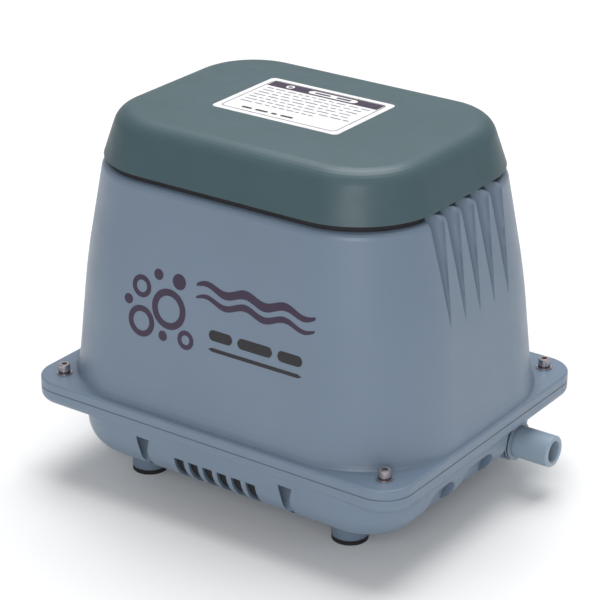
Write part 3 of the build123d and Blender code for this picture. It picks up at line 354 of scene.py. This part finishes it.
camera_data = bpy.data.cameras.new("camera")
camera_data.sensor_width = SENSOR
camera_data.lens = FOCAL_PX / FRAME_PX * SENSOR
camera_data.clip_start = 0.05
camera = bpy.data.objects.new("camera", camera_data)
bpy.context.scene.collection.objects.link(camera)
camera.location = CAMERA_AT
camera.rotation_euler = (LOOK_AT - CAMERA_AT).to_track_quat("-Z", "Y").to_euler()
bpy.context.scene.camera = camera


def soft_light(name, at, aim, size, power):
    """A square softbox."""
    data = bpy.data.lights.new(name, "AREA")
    data.size = size
    data.energy = power
    lamp = bpy.data.objects.new(name, data)
    bpy.context.scene.collection.objects.link(lamp)
    lamp.location = at
    lamp.rotation_euler = (Vector(aim) - Vector(at)).to_track_quat("-Z", "Y").to_euler()


soft_light("key", (1.1, -2.1, 1.1), (0, 0, 0.1), 1.2, 22)
soft_light("right", (2.1, -0.4, 1.1), (0, 0, 0.1), 1.0, 2)
soft_light("top", (-0.2, 0.6, 2.2), (0, 0, 0.15), 1.8, 52)

WORLD_LIGHT = 0.33
world = bpy.data.worlds.new("studio")
world.use_nodes = True
world.node_tree.nodes["Background"].inputs["Color"].default_value = (1, 1, 1, 1)
world.node_tree.nodes["Background"].inputs["Strength"].default_value = WORLD_LIGHT
bpy.context.scene.world = world
bpy.context.scene.view_settings.view_transform = "Standard"


def floor_material():
    """Matt white paper."""
    made = Surface("floor_paper", (244, 244, 244), 0.9, specular=0.1)
    made.mottle(2, 0.004)
    return made.material


def make_floor():
    """A wide sheet that curves up behind the object."""
    mesh = bpy.data.meshes.new("floor")
    shape = bmesh.new()
    radius, width, front, back = 1.2, 6.0, -4.0, 2.6
    profile = [(front, 0.0), (back, 0.0)]
    for step in range(1, 13):
        angle = math.pi / 2 * step / 12
        profile.append((back + radius * math.sin(angle), radius * (1 - math.cos(angle))))
    profile.append((back + radius, 5.0))
    turn = math.radians(35.5)
    rows = []
    for along, height in profile:
        row = []
        for across in (-width, width):
            x = across * math.cos(turn) - along * math.sin(turn)
            y = across * math.sin(turn) + along * math.cos(turn)
            row.append(shape.verts.new((x, y, height)))
        rows.append(row)
    for one, two in zip(rows, rows[1:]):
        shape.faces.new((one[0], one[1], two[1], two[0]))
    shape.to_mesh(mesh)
    shape.free()
    for face in mesh.polygons:
        face.use_smooth = True
    made = bpy.data.objects.new("floor", mesh)
    bpy.context.scene.collection.objects.link(made)
    mesh.materials.append(floor_material())


make_floor()


# ---------------------------------------------------------------- prints on the front wall
def surface_tree(node):
    """Search tree over a CAD node's faces, in world space."""
    shape = bmesh.new()
    shape.from_mesh(node.data)
    shape.transform(node.matrix_world)
    tree = BVHTree.FromBMesh(shape)
    shape.free()
    return tree


INK_PROUD = 0.10 * MM
WALL = surface_tree(NODES["upper_housing"])


def on_wall(x, z):
    """The point just in front of the housing's front wall at a place across and up."""
    hit, _, _, _ = WALL.ray_cast(Vector((x, -0.3, z)), Vector((0, 1, 0)))
    return Vector((x, hit.y - INK_PROUD, z))


def on_label(x, y):
    """A point just above the label's film."""
    return Vector((x, y, LABEL_TOP + INK_PROUD))


def strip(shape, place, one, two):
    """Faces between two lines of points that run side by side."""
    rows = [[shape.verts.new(place(*point)) for point in line] for line in (one, two)]
    for index in range(len(one) - 1):
        shape.faces.new((rows[0][index], rows[0][index + 1], rows[1][index + 1], rows[1][index]))


def ring(shape, place, centre, outer, inner, steps=48):
    """A flat ring; the inner radius may be nearly nothing."""
    lines = []
    for radius in (outer, inner):
        lines.append([(centre[0] + radius * math.cos(2 * math.pi * step / steps),
                       centre[1] + radius * math.sin(2 * math.pi * step / steps))
                      for step in range(steps + 1)])
    strip(shape, place, *lines)


def bar(shape, place, start, end, height, steps=24):
    """A level bar with round ends, cut into slices so that it follows the surface."""
    radius = height / 2
    upper, lower = [], []
    for step in range(steps + 1):
        along = start[0] + (end - start[0]) * step / steps
        gap = max(0.0, radius - min(along - start[0], end - along))
        half = math.sqrt(max(radius**2 - gap**2, (0.1 * radius) ** 2))
        upper.append((along, start[1] + half))
        lower.append((along, start[1] - half))
    strip(shape, place, upper, lower)


def wave(shape, place, span, level, swing, width, turns, steps=90):
    """A wavy ribbon, thinner at both ends."""
    upper, lower = [], []
    for step in range(steps + 1):
        part = step / steps
        along = span[0] + (span[1] - span[0]) * part
        middle = level + swing * math.sin(2 * math.pi * turns * part)
        half = width / 2 * (0.25 + 0.75 * math.sin(math.pi * part) ** 0.5)
        upper.append((along, middle + half))
        lower.append((along, middle - half))
    strip(shape, place, upper, lower)


# centre across and up the wall, radius, and how much of the radius is open
BUBBLES = (
    ((-0.0560, 0.1130), 0.0092, 0.62), ((-0.0370, 0.1245), 0.0118, 0.66),
    ((-0.0245, 0.1095), 0.0056, 0.5), ((-0.0565, 0.1335), 0.0066, 0.55),
    ((-0.0305, 0.1420), 0.0046, 0.02), ((-0.0450, 0.1430), 0.0032, 0.02),
    ((-0.0655, 0.1240), 0.0030, 0.02), ((-0.0405, 0.1080), 0.0030, 0.02),
)


def bubbles(shape):
    """Rising bubbles, the large ones open."""
    for centre, radius, open_part in BUBBLES:
        ring(shape, on_wall, centre, radius, radius * open_part)


def waves(shape):
    """Two wavy ribbons, one above the other."""
    for level, width in ((0.1436, 0.0052), (0.1362, 0.0040)):
        wave(shape, on_wall, (-0.0185, 0.0610), level, 0.0018, width, 3)


def model_bars(shape):
    """Three bars with a thin line below."""
    for start, end in ((-0.0085, 0.0075), (0.0110, 0.0345), (0.0380, 0.0545)):
        bar(shape, on_wall, (start, 0.1172), end, 0.0062)
    bar(shape, on_wall, (-0.0085, 0.1088), 0.0545, 0.0022)


add_mesh("front_bubbles", bubbles, INK_PLUM, "base")
add_mesh("front_waves", waves, INK_PLUM, "base")
add_mesh("front_bars", model_bars, INK_BLACK, "base")

# ---------------------------------------------------------------- prints on the top label
LABEL_LOW, LABEL_HIGH = (Vector(corner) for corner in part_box("top_label"))
LABEL_TOP = LABEL_HIGH.z
LABEL_MIDDLE = (LABEL_LOW + LABEL_HIGH) / 2
LABEL_SIZE = LABEL_HIGH - LABEL_LOW
MARGIN = 3.7 * MM            # bare film round the border line
LINE_W = 0.45 * MM
PRINT_L = LABEL_SIZE.x - 2 * MARGIN
PRINT_W = LABEL_SIZE.y - 2 * MARGIN
LEFT = LABEL_MIDDLE.x - PRINT_L / 2
BACK = LABEL_MIDDLE.y + PRINT_W / 2
HEADER_W = 8.4 * MM
HEADER_LEVEL = BACK - 2 * LINE_W - HEADER_W / 2
LOZENGE_SPAN = (0.36, 0.78)  # ends, as shares of the print's length
LOZENGE_R = 2.6 * MM
HEADER_STEPS = 120
DISC_R = 2.6 * MM
ROWS = 7
ROW_PITCH = 4.3 * MM
DASH_H = 0.95 * MM


def label_border(shape):
    """Thin rounded frame round the print."""
    middle = (LABEL_MIDDLE.x, LABEL_MIDDLE.y)
    outer = rounded_outline(middle, (PRINT_L, PRINT_W), 3.0 * MM)
    inner = rounded_outline(middle, (PRINT_L - 2 * LINE_W, PRINT_W - 2 * LINE_W), 2.6 * MM)
    strip(shape, on_label, outer + outer[:1], inner + inner[:1])


def label_header(shape):
    """Dark band along the back edge, open where the light lozenge lies."""
    level, half, rim = HEADER_LEVEL, HEADER_W / 2, LOZENGE_R
    start, end = LEFT + 1.2 * MM, LEFT + PRINT_L - 1.2 * MM
    lozenge = [LEFT + share * PRINT_L for share in LOZENGE_SPAN]
    upper_in, lower_in, upper_out, lower_out = [], [], [], []
    for step in range(HEADER_STEPS + 1):
        along = start + (end - start) * step / HEADER_STEPS
        gap = max(0.0, rim - min(along - lozenge[0], lozenge[1] - along))
        inside = math.sqrt(max(rim**2 - gap**2, 0.0)) if lozenge[0] < along < lozenge[1] else 0.0
        upper_out.append((along, level + half))
        upper_in.append((along, level + inside))
        lower_in.append((along, level - inside))
        lower_out.append((along, level - half))
    strip(shape, on_label, upper_out, upper_in)
    strip(shape, on_label, lower_in, lower_out)
    for first, last in ((0.41, 0.55), (0.60, 0.73)):
        bar(shape, on_label, (LEFT + first * PRINT_L, level), LEFT + last * PRINT_L, 1.8 * MM)


def label_disc(shape):
    """Light ring that lies on the header band."""
    centre = (LEFT + 0.19 * PRINT_L, HEADER_LEVEL)
    lift = Vector((0, 0, INK_PROUD / 2))
    ring(shape, lambda x, y: on_label(x, y) + lift, centre, DISC_R, DISC_R / 2)


def label_rows(shape):
    """Rows of thin dashes of uneven length, standing in for small print."""
    draw = random.Random(7)
    for row in range(ROWS):
        level = BACK - HEADER_W - 4.2 * MM - ROW_PITCH * row
        along = LEFT + 3.5 * MM
        limit = LEFT + PRINT_L * (0.96 if row < ROWS - 1 else 0.7)
        while along < limit - 4 * MM:
            length = draw.uniform(3.0, 9.5) * MM
            bar(shape, on_label, (along, level), min(along + length, limit), DASH_H, steps=10)
            along += length + draw.uniform(0.9, 1.8) * MM


def label_foot(shape):
    """Short row of heavier bars near the front edge."""
    level = BACK - PRINT_W + 5.0 * MM
    for start, end in ((0.15, 0.24), (0.27, 0.38), (0.41, 0.46), (0.49, 0.60)):
        bar(shape, on_label, (LEFT + start * PRINT_L, level), LEFT + end * PRINT_L, 2.0 * MM)


add_mesh("label_border", label_border, INK_BLACK, "cover")
add_mesh("label_header", label_header, INK_PLUM, "cover")
add_mesh("label_disc", label_disc, LABEL_FILM, "cover")
add_mesh("label_rows", label_rows, INK_GREY, "cover")
add_mesh("label_foot", label_foot, INK_BLACK, "cover")


# ---------------------------------------------------------------- foam of the air filter
def filter_pad(shape):
    """Pad with softly rounded edges and a pitted, slightly uneven skin."""
    low, high = (Vector(corner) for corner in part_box("air_filter"))
    middle, half = (low + high) / 2, (high - low) / 2
    bmesh.ops.create_cube(shape, size=2)
    for axis, cuts in ((0, 54), (1, 36), (2, 8)):
        for step in range(1, cuts):
            place, normal = Vector((0, 0, 0)), Vector((0, 0, 0))
            place[axis] = -1 + 2 * step / cuts
            normal[axis] = 1
            everything = shape.verts[:] + shape.edges[:] + shape.faces[:]
            bmesh.ops.bisect_plane(shape, geom=everything, plane_co=place, plane_no=normal)
    draw = random.Random(3)
    corner_r, edge_r, skin = 9 * MM, 2.6 * MM, 0.35 * MM
    for vert in shape.verts:
        at = Vector([vert.co[axis] * half[axis] for axis in range(3)])
        core = Vector((max(-half.x + corner_r, min(at.x, half.x - corner_r)),
                       max(-half.y + corner_r, min(at.y, half.y - corner_r)), at.z))
        out = Vector((at.x - core.x, at.y - core.y, 0))
        if out.length > corner_r:
            at = core + out.normalized() * corner_r
        edge_in = max(0.0, abs(vert.co.z) * half.z - half.z + edge_r)
        pull = 1 - (edge_r - math.sqrt(max(edge_r**2 - edge_in**2, 0.0))) / half.x
        at.x *= pull
        at.y *= pull
        inward = Vector([-math.copysign(draw.uniform(0.0, skin), at[axis]) for axis in range(3)])
        vert.co = middle + at + inward


pad = add_mesh("filter_pad", filter_pad, FOAM, "filter")
for face in pad.data.polygons:
    face.use_smooth = True
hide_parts("air_filter")
